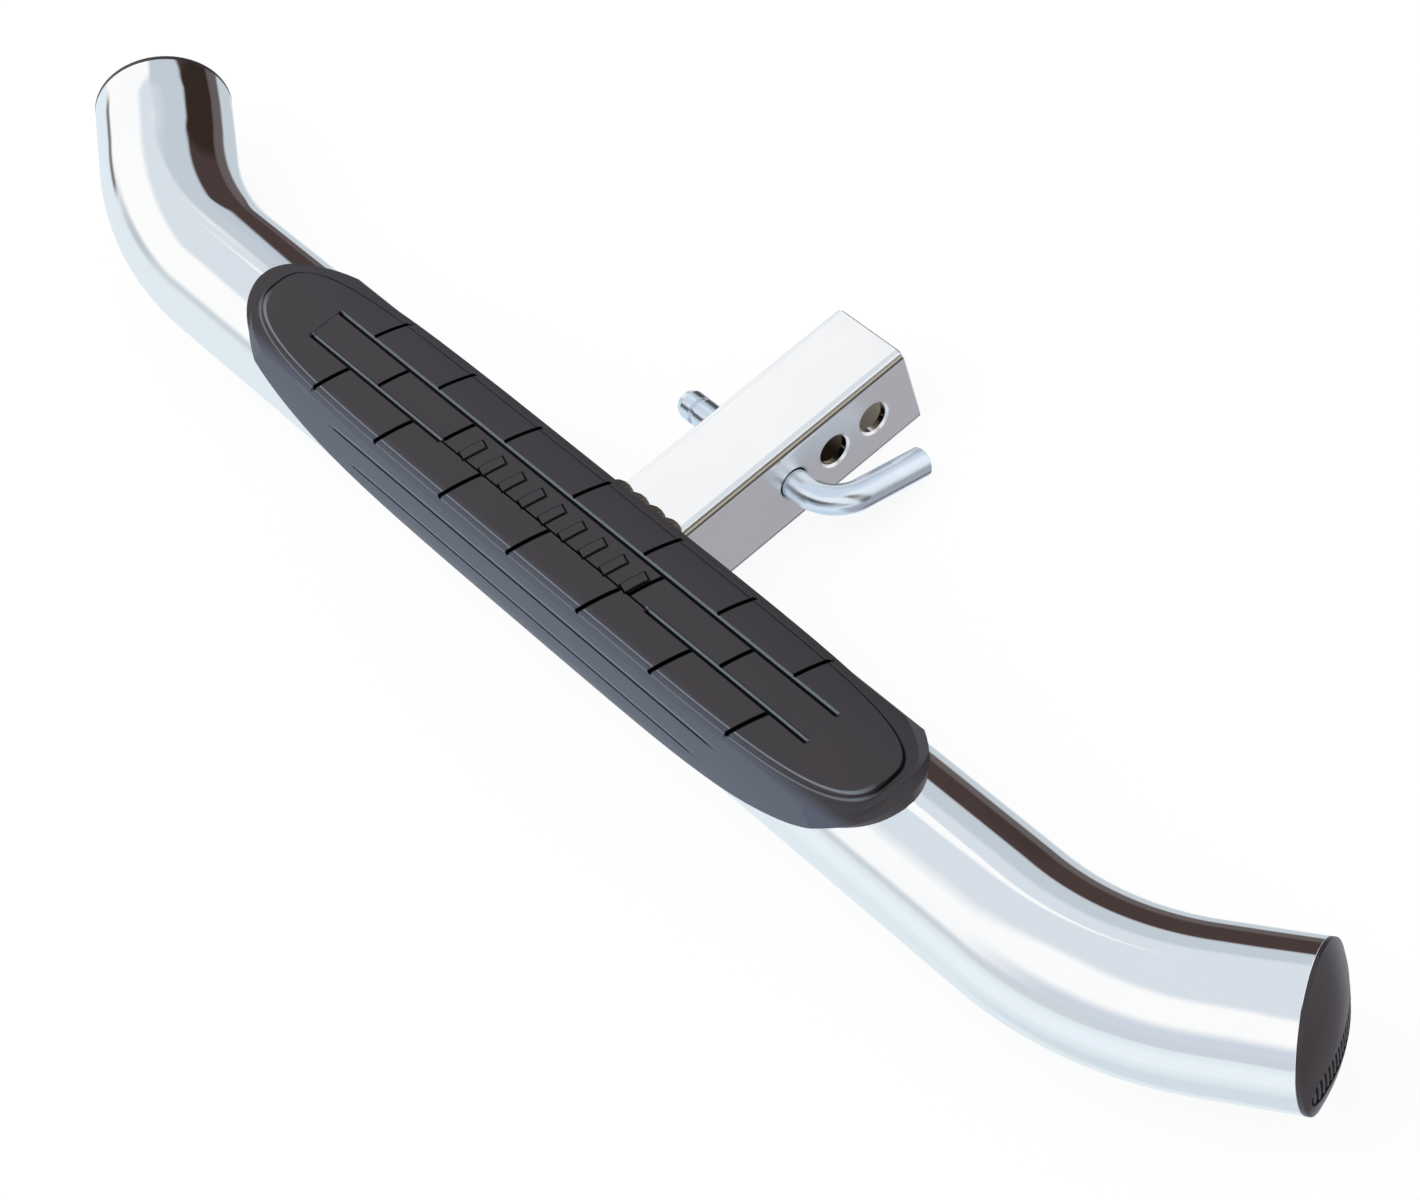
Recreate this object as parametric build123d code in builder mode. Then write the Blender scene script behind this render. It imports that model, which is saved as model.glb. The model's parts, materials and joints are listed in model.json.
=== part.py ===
from build123d import *
from math import asin, cos, degrees, radians, sin, sqrt, tan
import os

os.makedirs("parts", exist_ok=True)

# Frame: the origin is the centre of the shank's open end, +Y points at the vehicle, +Z is up
# and the step bar lies along X, behind the origin.

# Step bar, a round tube whose two ends turn towards the vehicle
TUBE_R = 38.1
TUBE_WALL = 2.1
STRAIGHT_HALF = 312.0
BEND_R = 184.0
BEND_ANGLE = 31.0
LEG_LENGTH = 47.0

# Shank, a square tube that slides into the receiver and runs on beneath the bar
SHANK_SIDE = 50.8
SHANK_WALL = 4.8
SHANK_CORNER_R = 5.0
SHANK_INNER_R = 1.5
SHANK_LENGTH = 192.0
SHANK_END_BEVEL = 0.8
PIN_HOLE_R = 8.5
PIN_HOLE_BEVEL = 1.2
PIN_HOLE_COUNT = 3
FIRST_PIN_HOLE = 27.0
PIN_HOLE_PITCH = 26.5

# Root weld, a lobed bead over the shank's top and a plain one down each side
SIDE_BEAD_LEG = 5.0
SIDE_BEAD_SWELL = 1.1
TOP_BEAD_R = 8.0
LOBE_R = 10.4
LOBE_COUNT = 4

# Step pad, a moulding that wraps the bar
PAD_HALF_LENGTH = 253.0
PAD_WRAP = 104.0
PAD_ENDS_POWER = 2.3
PAD_STATIONS = 18
PAD_TIP_TURN = 2.5
SKIRT_THICKNESS = 2.7
SHOULDER_HALF_WIDTH = 31.5
SHOULDER_FOOT_ANGLE = 78.0
SHOULDER_DRAFT = 30.0
CROWN_R = 85.0
CROWN_RISE = 4.2
NOTCH_HALF_WIDTH = 31.0
NOTCH_TOP = 11.0
NOTCH_CORNER_R = 6.0

# Tread on top of the pad: a raised oval panel on a ledge, with a brick pattern of grooves
TREAD_HALF_LENGTH = 239.0
TREAD_HALF_WIDTH = 28.0
TREAD_DRAFT = 20.0
OVAL_ENDS_POWER = 6.0
OVAL_SIDES_POWER = 3.0
OVAL_ROOT = 5.0
OVAL_POINTS = 9
TREAD_STEP = 0.9
LEDGE_WIDTH = 2.8
LEDGE_STEP = 0.4
GROOVE_OFFSET = 9.5
GROOVE_WIDTH = 3.8
GROOVE_DEPTH = 1.8
GROOVE_SLOPE = 31.0
GROOVE_HALF_LENGTH = 196.0
MIDDLE_ROW_DROP = 0.3
CROSS_WIDTH = 1.7
CROSS_DEPTH = 1.6
ROW_PITCH = 55.0
ROW_CROSS_COUNT = 7
MIDDLE_CROSS_PLACES = (-136.0, -80.0, 69.0, 135.0)
NEAR_LEAN = 27.0
MIDDLE_LEAN = 17.0
FAR_LEAN = 10.0
PANEL_ENDS = (-83.0, 79.0)
PANEL_LINE_WIDTH = 1.1
PANEL_BAR_COUNT = 9
PANEL_BAR_PITCH = 16.0
PANEL_BAR_LENGTH = 12.0
PANEL_BAR_WIDTH = 5.0
PANEL_BAR_RISE = 0.5
PANEL_CENTRE = (-1.0, -3.0)
PANEL_LEAN = 17.0

# Fine grooves along the pad's two skirts, as places on the shoulder with their half lengths
SKIRT_LINES = ((0.62, 150.0), (0.07, 135.0))
LINE_SIDE = 1.1

# Push-in clips that hold the pad to holes in the bar's crown
CLIP_PLACES = (-150.0, -50.0, 50.0, 150.0)
CLIP_HOLE_R = 3.3
CLIP_SHANK_R = 3.0
CLIP_HEAD_R = 6.5
CLIP_HEAD_THICKNESS = 1.0
CLIP_POCKET_CLEARANCE = 0.15
CLIP_LENGTH = 9.0

# End caps, domed plugs
CAP_FLANGE = 2.0
CAP_DOME = 9.0
CAP_SKIN = 3.0
PLUG_LENGTH = 18.0
PLUG_CLEARANCE = 0.05
PLUG_WALL = 3.0

# Hitch pin, bent from round bar, in the hole nearest the step bar
PIN_R = 7.94
PIN_SAG = 0.25
PIN_TIP = 62.0
PIN_STRAIGHT = 32.0
PIN_BEND_R = 20.0
PIN_LEG_REACH = 60.0
PIN_DROOP = 16.5
PIN_NOSE = 5.0
PIN_NOSE_FLAT_R = 3.8
PIN_GROOVE_PLACE = 13.0
PIN_GROOVE_WIDTH = 3.2
PIN_GROOVE_DEPTH = 1.6
PIN_END_BEVEL = 0.8

# The bar's axis and the planes square to it
BAR_Y = -SHANK_LENGTH
BAR_Z = SHANK_SIDE / 2
bar_section = Plane(origin=(0, BAR_Y, BAR_Z), x_dir=(0, 1, 0), z_dir=(1, 0, 0))
bar_middle = Plane(origin=(0, BAR_Y, BAR_Z), x_dir=(1, 0, 0), z_dir=(0, 1, 0))
bar_level = Plane(origin=(0, BAR_Y, BAR_Z))


# Step tube: half of the bar is swept, the other half mirrored
with BuildPart() as step_tube:
    with BuildLine(Plane.XY.offset(BAR_Z)):
        straight = Line((0, BAR_Y), (STRAIGHT_HALF, BAR_Y))
        bend = CenterArc((STRAIGHT_HALF, BAR_Y + BEND_R), BEND_R, -90, BEND_ANGLE)
        leg = Line(bend @ 1, bend @ 1 + LEG_LENGTH * (bend % 1))
    with BuildSketch(bar_section):
        Circle(TUBE_R)
        Circle(TUBE_R - TUBE_WALL, mode=Mode.SUBTRACT)
    sweep()
    mirror(about=Plane.YZ)
    with Locations(*[(place, BAR_Y, BAR_Z + TUBE_R) for place in CLIP_PLACES]):
        Cylinder(CLIP_HOLE_R, 4 * TUBE_WALL, mode=Mode.SUBTRACT)


# Shank: drilled and bevelled first, then coped to the bar's underside
hole_places = [-FIRST_PIN_HOLE - index * PIN_HOLE_PITCH for index in range(PIN_HOLE_COUNT)]
with BuildPart() as hitch_shank:
    with BuildSketch(Plane.XZ):
        RectangleRounded(SHANK_SIDE, SHANK_SIDE, SHANK_CORNER_R)
        inner_side = SHANK_SIDE - 2 * SHANK_WALL
        RectangleRounded(inner_side, inner_side, SHANK_INNER_R, mode=Mode.SUBTRACT)
    extrude(amount=SHANK_LENGTH)
    with BuildSketch(Plane.YZ):
        with Locations(*[(place, 0) for place in hole_places]):
            Circle(PIN_HOLE_R)
    extrude(amount=SHANK_SIDE, both=True, mode=Mode.SUBTRACT)
    rims = hitch_shank.edges().filter_by(GeomType.CIRCLE).filter_by(Plane.YZ).group_by(Axis.X)
    chamfer(rims[0] + rims[-1], length=PIN_HOLE_BEVEL)
    open_end = hitch_shank.faces().sort_by(Axis.Y)[-1]
    chamfer(open_end.outer_wire().edges(), length=SHANK_END_BEVEL)
    with BuildSketch(bar_section):
        Circle(TUBE_R)
    extrude(amount=SHANK_SIDE, both=True, mode=Mode.SUBTRACT)


# Root weld: a fillet bead down each side face and a bead of lobes across the top
bead_place = SHANK_SIDE / 2
bead_crest = SIDE_BEAD_LEG / 2 + SIDE_BEAD_SWELL
half_lobe = SHANK_SIDE / LOBE_COUNT / 2
with BuildPart() as root_weld:
    with BuildSketch(bar_level):
        with BuildLine():
            Polyline(
                (bead_place, TUBE_R / 2),
                (bead_place, TUBE_R + SIDE_BEAD_LEG),
                (bead_place + bead_crest, TUBE_R + bead_crest),
                (bead_place + SIDE_BEAD_LEG, TUBE_R),
                (bead_place + SIDE_BEAD_LEG, TUBE_R / 2),
                close=True,
            )
        make_face()
    revolve(axis=Axis((0, BAR_Y, BAR_Z), (-1, 0, 0)), revolution_arc=90)
    mirror(about=Plane.YZ)
    with BuildSketch(bar_level):
        with BuildLine():
            crests = [
                ((k - LOBE_COUNT) * half_lobe, TUBE_R + (LOBE_R if k % 2 else TOP_BEAD_R))
                for k in range(2 * LOBE_COUNT + 1)
            ]
            Polyline((-bead_place, TUBE_R), *crests, (bead_place, TUBE_R), close=True)
        make_face()
    revolve(axis=Axis((0, BAR_Y + TUBE_R, BAR_Z), (1, 0, 0)))
    with BuildSketch(bar_section):
        Circle(TUBE_R)
    extrude(amount=SHANK_SIDE, both=True, mode=Mode.SUBTRACT)
    with BuildSketch(Plane.XZ):
        RectangleRounded(SHANK_SIDE, SHANK_SIDE, SHANK_CORNER_R)
    extrude(amount=SHANK_LENGTH, mode=Mode.SUBTRACT)


# Pad levels: concentric crowned surfaces, given by their radius about the crown's centre
crown_centre = TUBE_R + CROWN_RISE - CROWN_R
ledge_crown_r = CROWN_R - TREAD_STEP
body_crown_r = ledge_crown_r - LEDGE_STEP
skirt_r = TUBE_R + SKIRT_THICKNESS
inner_cut_r = TUBE_R - 4 * SKIRT_THICKNESS
outer_cut_r = TUBE_R + 4 * SKIRT_THICKNESS


# Pad outline: the moulding's limits round the bar on its +Y side, as radial cuts whose angle
# closes to nothing at both tips
with BuildPart() as pad_outline:
    for station in range(PAD_STATIONS):
        turn = PAD_TIP_TURN + station * (180 - 2 * PAD_TIP_TURN) / (PAD_STATIONS - 1)
        half_angle = PAD_WRAP * sin(radians(turn))
        side = 1 if turn < 90 else -1
        reach = side * PAD_HALF_LENGTH * abs(cos(radians(turn))) ** (2 / PAD_ENDS_POWER)
        with BuildSketch(bar_section.offset(reach)):
            with BuildLine():
                outer = CenterArc((0, 0), outer_cut_r, 90, -half_angle)
                inner = CenterArc((0, 0), inner_cut_r, 90, -half_angle)
                Line(outer @ 0, inner @ 0)
                Line(outer @ 1, inner @ 1)
            make_face()
    loft()


def oval_points(half_length, half_width):
    """Points round a squared-off oval, from its +X end and back to it."""
    turns = [radians(90 * k / (OVAL_POINTS - 1)) for k in range(OVAL_POINTS)]
    quarter = [
        (
            half_length * abs(cos(turn)) ** (2 / OVAL_ENDS_POWER),
            half_width * sin(turn) ** (2 / OVAL_SIDES_POWER),
        )
        for turn in turns
    ]
    quarter[-1] = (0, half_width)
    side = quarter + [(-x, y) for x, y in reversed(quarter[:-1])]
    return side + [(x, -y) for x, y in reversed(side[1:-1])]


def crowned_oval(inset, crown_r, root=OVAL_ROOT, draft=TREAD_DRAFT):
    """Block on the bar with an oval outline, drafted sides and a crowned top."""
    base = TUBE_R - root
    height = root + 2 * CROWN_RISE
    base_inset = inset - (root + CROWN_RISE) * tan(radians(draft))
    top_inset = inset + CROWN_RISE * tan(radians(draft))
    with BuildPart() as block:
        for level, shrink in ((base, base_inset), (base + height, top_inset)):
            with BuildSketch(bar_level.offset(level)):
                with BuildLine():
                    points = oval_points(TREAD_HALF_LENGTH - shrink, TREAD_HALF_WIDTH - shrink)
                    Spline(*points, periodic=True)
                make_face()
        loft()
        with BuildSketch(bar_section):
            with Locations((0, crown_centre)):
                Circle(crown_r)
        extrude(amount=2 * TREAD_HALF_LENGTH, both=True, mode=Mode.INTERSECT)
        with BuildSketch(bar_section):
            Circle(TUBE_R)
        extrude(amount=2 * TREAD_HALF_LENGTH, both=True, mode=Mode.SUBTRACT)
    return block.part


# Tread panel, the ledge it stands on and the wider block that carries both
tread_panel = crowned_oval(0, CROWN_R)
ledge = crowned_oval(-LEDGE_WIDTH, ledge_crown_r)
shoulder_block = crowned_oval(-2 * LEDGE_WIDTH, body_crown_r, TUBE_R, SHOULDER_DRAFT)


# Pad body: half of the moulding, a skirt that hugs the bar and a flat-crowned shoulder on it
with BuildPart() as pad_body:
    with BuildSketch(bar_section):
        with BuildLine():
            crown_span = degrees(asin(SHOULDER_HALF_WIDTH / body_crown_r))
            top = CenterArc((0, crown_centre), body_crown_r, 90, -crown_span)
            skirt = CenterArc((0, 0), skirt_r, 90 - SHOULDER_FOOT_ANGLE, -SKIRT_THICKNESS)
            shoulder = TangentArc(skirt @ 0, top @ 1, tangent=-(skirt % 0))
            seat = CenterArc((0, 0), TUBE_R, 90, -SHOULDER_FOOT_ANGLE - SKIRT_THICKNESS)
            Line(seat @ 0, top @ 0)
            Line(seat @ 1, skirt @ 1)
        make_face()
    extrude(amount=PAD_HALF_LENGTH, both=True)
    add(shoulder_block, mode=Mode.INTERSECT)
    with BuildSketch(bar_section):
        with BuildLine():
            hug = CenterArc((0, 0), skirt_r, 90, -PAD_WRAP)
            seat = CenterArc((0, 0), TUBE_R, 90, -PAD_WRAP)
            Line(seat @ 0, hug @ 0)
            Line(seat @ 1, hug @ 1)
        make_face()
    extrude(amount=PAD_HALF_LENGTH, both=True)
    add(pad_outline.part, mode=Mode.INTERSECT)
    mirror(about=bar_middle)


# Cross grooves: leaning slots that bottom on a level below the crown
def lean_slots(places, offset, length, lean):
    """Slots of one row, at the given places along the bar."""
    with Locations(*[(place, offset) for place in places]):
        Rectangle(CROSS_WIDTH, length, rotation=-lean)


outer_row = TREAD_HALF_WIDTH + LEDGE_WIDTH - GROOVE_OFFSET
outer_row_middle = GROOVE_OFFSET + outer_row / 2
row_places = [ROW_PITCH * (k - (ROW_CROSS_COUNT - 1) / 2) for k in range(ROW_CROSS_COUNT)]
with BuildPart() as cross_grooves:
    with BuildSketch(bar_level):
        lean_slots(row_places, -outer_row_middle, outer_row / cos(radians(NEAR_LEAN)), NEAR_LEAN)
        lean_slots(row_places, outer_row_middle, outer_row / cos(radians(FAR_LEAN)), FAR_LEAN)
        middle_row = 2 * GROOVE_OFFSET / cos(radians(MIDDLE_LEAN))
        lean_slots(MIDDLE_CROSS_PLACES, 0, middle_row, MIDDLE_LEAN)
        with Locations((sum(PANEL_ENDS) / 2, -GROOVE_OFFSET)):
            Rectangle(PANEL_ENDS[1] - PANEL_ENDS[0], PANEL_LINE_WIDTH)
    extrude(amount=outer_cut_r)
    with BuildSketch(bar_section):
        with Locations((0, crown_centre)):
            Circle(CROWN_R - CROSS_DEPTH)
    extrude(amount=PAD_HALF_LENGTH, both=True, mode=Mode.SUBTRACT)


# Middle row of the tread, a little lower than the rows beside it
with BuildPart() as middle_drop:
    with BuildSketch(bar_level):
        Rectangle(2 * GROOVE_HALF_LENGTH, 2 * GROOVE_OFFSET)
    extrude(amount=outer_cut_r)
    with BuildSketch(bar_section):
        with Locations((0, crown_centre)):
            Circle(CROWN_R - MIDDLE_ROW_DROP)
    extrude(amount=PAD_HALF_LENGTH, both=True, mode=Mode.SUBTRACT)


# Panel bars: a row of low slanted blocks in the middle of the tread
with BuildPart() as panel_bars:
    with BuildSketch(bar_level):
        with Locations(PANEL_CENTRE):
            with GridLocations(PANEL_BAR_PITCH, 0, PANEL_BAR_COUNT, 1):
                Rectangle(PANEL_BAR_WIDTH, PANEL_BAR_LENGTH, rotation=-PANEL_LEAN)
    extrude(amount=outer_cut_r)
    with BuildSketch(bar_section):
        with Locations((0, crown_centre)):
            Circle(CROWN_R + PANEL_BAR_RISE)
    extrude(amount=PAD_HALF_LENGTH, both=True, mode=Mode.INTERSECT)
    with BuildSketch(bar_section):
        with Locations((0, crown_centre)):
            Circle(CROWN_R - CROSS_DEPTH)
    extrude(amount=PAD_HALF_LENGTH, both=True, mode=Mode.SUBTRACT)


# Step pad: body, ledge and tread in one moulding, then its grooves, clip pockets and notch
groove_fall = CROWN_R - sqrt(CROWN_R**2 - GROOVE_OFFSET**2)
groove_cut = groove_fall + GROOVE_DEPTH
groove_mouth = GROOVE_WIDTH + 2 * groove_fall * tan(radians(GROOVE_SLOPE))
far_groove = (-GROOVE_HALF_LENGTH, GROOVE_HALF_LENGTH, GROOVE_OFFSET)
near_grooves = (
    (-GROOVE_HALF_LENGTH, PANEL_ENDS[0], -GROOVE_OFFSET),
    (PANEL_ENDS[1], GROOVE_HALF_LENGTH, -GROOVE_OFFSET),
)
with BuildPart() as step_pad:
    add(pad_body.part)
    add(ledge)
    add(tread_panel)
    add(middle_drop.part, mode=Mode.SUBTRACT)
    add(cross_grooves.part, mode=Mode.SUBTRACT)
    with BuildSketch(bar_level.offset(TUBE_R + CROWN_RISE)):
        for start, end, offset in (far_groove, *near_grooves):
            with Locations(((start + end) / 2, offset)):
                Rectangle(end - start, groove_mouth)
    extrude(amount=-groove_cut, taper=GROOVE_SLOPE, mode=Mode.SUBTRACT)
    add(panel_bars.part)
    with Locations(*[(place, BAR_Y, BAR_Z + TUBE_R) for place in CLIP_PLACES]):
        Cylinder(
            CLIP_HEAD_R + CLIP_POCKET_CLEARANCE,
            2 * (CLIP_HEAD_THICKNESS + CLIP_POCKET_CLEARANCE),
            mode=Mode.SUBTRACT,
        )
    with BuildSketch(bar_middle):
        with Locations((0, TUBE_R - NOTCH_TOP)):
            RectangleRounded(2 * NOTCH_HALF_WIDTH, 2 * TUBE_R, NOTCH_CORNER_R)
    extrude(amount=outer_cut_r, mode=Mode.SUBTRACT)
    for place, half_length in SKIRT_LINES:
        line_at = shoulder @ place
        with BuildSketch(bar_section):
            with Locations((line_at.X, line_at.Y), (-line_at.X, line_at.Y)):
                Rectangle(LINE_SIDE, LINE_SIDE, rotation=45)
        extrude(amount=half_length, both=True, mode=Mode.SUBTRACT)


# Pad clips: a flat head in the pad's pocket and a shank through the tube wall
pad_clips = []
for place in CLIP_PLACES:
    with BuildPart() as pad_clip:
        with BuildSketch(bar_level.offset(TUBE_R)):
            with Locations((place, 0)):
                Circle(CLIP_HEAD_R)
        extrude(amount=CLIP_HEAD_THICKNESS)
        with BuildSketch(bar_level.offset(TUBE_R)):
            with Locations((place, 0)):
                Circle(CLIP_SHANK_R)
        extrude(amount=-CLIP_LENGTH)
    pad_clips.append(pad_clip)


# End caps: a domed face and a hollow plug, turned about the tube's end
plug_r = TUBE_R - TUBE_WALL - PLUG_CLEARANCE
cavity_r = plug_r - PLUG_WALL
dome_r = (TUBE_R**2 + CAP_DOME**2) / (2 * CAP_DOME)
dome_centre = CAP_FLANGE + CAP_DOME - dome_r
cap_profile = Plane(origin=leg @ 1, x_dir=(0, 0, 1), z_dir=Vector(0, 0, 1).cross(leg % 1))

with BuildPart() as end_cap_right:
    with BuildSketch(cap_profile):
        with BuildLine():
            face_span = degrees(asin(TUBE_R / dome_r))
            face = CenterArc((0, dome_centre), dome_r, 90, -face_span)
            Polyline(
                face @ 1,
                (TUBE_R, 0),
                (plug_r, 0),
                (plug_r, -PLUG_LENGTH),
                (cavity_r, -PLUG_LENGTH),
                (cavity_r, CAP_FLANGE - CAP_SKIN),
                (0, CAP_FLANGE - CAP_SKIN),
                face @ 0,
            )
        make_face()
    revolve(axis=Axis(leg @ 1, leg % 1))

with BuildPart() as end_cap_left:
    mirror(end_cap_right.part, about=Plane.YZ)


# Hitch pin: a nosed and grooved straight run, a bend and a leg that droops below level
droop = radians(PIN_DROOP)
pin_plane = Plane(
    origin=(0, hole_places[-1], -PIN_SAG), x_dir=(1, 0, 0), z_dir=(0, sin(droop), cos(droop))
)
with BuildPart() as hitch_pin:
    with BuildSketch(pin_plane):
        with BuildLine():
            groove_at = -PIN_TIP + PIN_GROOVE_PLACE
            Polyline(
                (-PIN_TIP, PIN_NOSE_FLAT_R),
                (-PIN_TIP + PIN_NOSE / 3, (PIN_NOSE_FLAT_R + 2 * PIN_R) / 3),
                (-PIN_TIP + PIN_NOSE, PIN_R),
                (groove_at - PIN_GROOVE_WIDTH / 2, PIN_R),
                (groove_at - PIN_GROOVE_WIDTH / 4, PIN_R - PIN_GROOVE_DEPTH),
                (groove_at + PIN_GROOVE_WIDTH / 4, PIN_R - PIN_GROOVE_DEPTH),
                (groove_at + PIN_GROOVE_WIDTH / 2, PIN_R),
                (PIN_STRAIGHT, PIN_R),
                (PIN_STRAIGHT, 0),
                (-PIN_TIP, 0),
                (-PIN_TIP, PIN_NOSE_FLAT_R),
            )
        make_face()
    revolve(axis=Axis(pin_plane.origin, (1, 0, 0)))
    with BuildLine(pin_plane):
        turn_arc = CenterArc((PIN_STRAIGHT, PIN_BEND_R), PIN_BEND_R, -90, 90)
        Line(turn_arc @ 1, turn_arc @ 1 + (PIN_LEG_REACH - PIN_BEND_R) * (turn_arc % 1))
    with BuildSketch(Plane(origin=turn_arc @ 0, z_dir=turn_arc % 0)):
        Circle(PIN_R)
    sweep()
    leg_end = hitch_pin.faces().filter_by(GeomType.PLANE).sort_by(Axis.Y)[-1]
    chamfer(leg_end.edges(), length=PIN_END_BEVEL)


pieces = {
    "step_tube": step_tube,
    "hitch_shank": hitch_shank,
    "root_weld": root_weld,
    "step_pad": step_pad,
    "end_cap_left": end_cap_left,
    "end_cap_right": end_cap_right,
    "hitch_pin": hitch_pin,
}
for number, clip in enumerate(pad_clips, start=1):
    pieces[f"pad_clip_{number}"] = clip

for name, piece in pieces.items():
    piece.part.label = name
    export_step(piece.part, f"parts/{name}.step")
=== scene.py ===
"""Looks of a hitch receiver step: plated bar and shank, moulded pad, caps and pin."""

import json
import logging
import math
from dataclasses import dataclass, field
from enum import Enum
from functools import reduce

import bmesh
import bpy
import numpy as np
from mathutils import Matrix, Vector


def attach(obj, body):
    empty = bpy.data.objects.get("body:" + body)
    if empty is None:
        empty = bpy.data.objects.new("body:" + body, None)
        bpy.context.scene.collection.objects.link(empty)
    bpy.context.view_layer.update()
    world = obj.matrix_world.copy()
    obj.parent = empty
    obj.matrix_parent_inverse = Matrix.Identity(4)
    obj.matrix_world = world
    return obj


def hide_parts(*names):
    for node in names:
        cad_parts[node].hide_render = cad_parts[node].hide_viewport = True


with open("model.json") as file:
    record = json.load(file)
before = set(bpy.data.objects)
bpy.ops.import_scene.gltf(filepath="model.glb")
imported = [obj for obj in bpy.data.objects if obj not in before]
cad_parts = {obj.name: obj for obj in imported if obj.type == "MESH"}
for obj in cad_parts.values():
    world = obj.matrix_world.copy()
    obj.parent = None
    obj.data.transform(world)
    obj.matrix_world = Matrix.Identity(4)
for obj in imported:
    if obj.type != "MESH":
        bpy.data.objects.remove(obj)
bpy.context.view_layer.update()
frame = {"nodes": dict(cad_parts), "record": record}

log = logging.getLogger("hitch_step")
Colour = tuple[float, float, float]
Face = tuple[int, ...]
Socket = bpy.types.NodeSocket

WHITE: Colour = (1.0, 1.0, 1.0)
SHARP_DEGREES = 38.0
IMAGE_WIDTH = 1420.0
SENSOR_MM = 36.0


class Slot(Enum):
    """The record's material slots."""

    BAR = "polished_bar"
    SHANK = "plated_shank"
    WELD = "weld_bead"
    PAD = "pad_rubber"
    CLIP = "clip_plastic"
    CAP = "cap_plastic"
    PIN = "plated_pin"


@dataclass(frozen=True)
class BarShape:
    """The bent bar: straight in the middle, then a bend and a straight leg to each side.

    Attributes:
        y: Y of the middle part's axis.
        z: Z of the axis.
        radius: Outer radius.
        straight_half: Half of the straight middle part.
        bend_r: Radius of each bend.
        bend_angle: Degrees of each bend.
        leg: Length of each leg.
    """

    y: float = -0.192
    z: float = 0.0254
    radius: float = 0.0381
    straight_half: float = 0.312
    bend_r: float = 0.184
    bend_angle: float = 31.0
    leg: float = 0.047

    def half_length(self) -> float:
        """Length of the axis from its middle to an end."""
        return self.straight_half + self.bend_r * math.radians(self.bend_angle) + self.leg

    def centre_line(self, along: np.ndarray) -> tuple[np.ndarray, np.ndarray]:
        """The axis: straight, then an arc, then straight, the same to both sides.

        Args:
            along: Distance along the axis from its middle, with its sign.

        Returns:
            The points, and the direction's turn from +X in radians.
        """
        way = np.abs(along)
        turn = np.clip((way - self.straight_half) / self.bend_r, 0.0, math.radians(self.bend_angle))
        past = np.maximum(way - self.straight_half - self.bend_r * turn, 0.0)
        x = np.minimum(way, self.straight_half) + self.bend_r * np.sin(turn) + past * np.cos(turn)
        y = self.y + self.bend_r * (1 - np.cos(turn)) + past * np.sin(turn)
        points = np.stack((np.sign(along) * x, y, np.full_like(x, self.z)), axis=-1)
        return points, np.sign(along) * turn


BAR = BarShape()


# Node helpers


def rgba(colour: Colour) -> tuple[float, float, float, float]:
    """A colour with full alpha."""
    return (*colour, 1.0)


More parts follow.
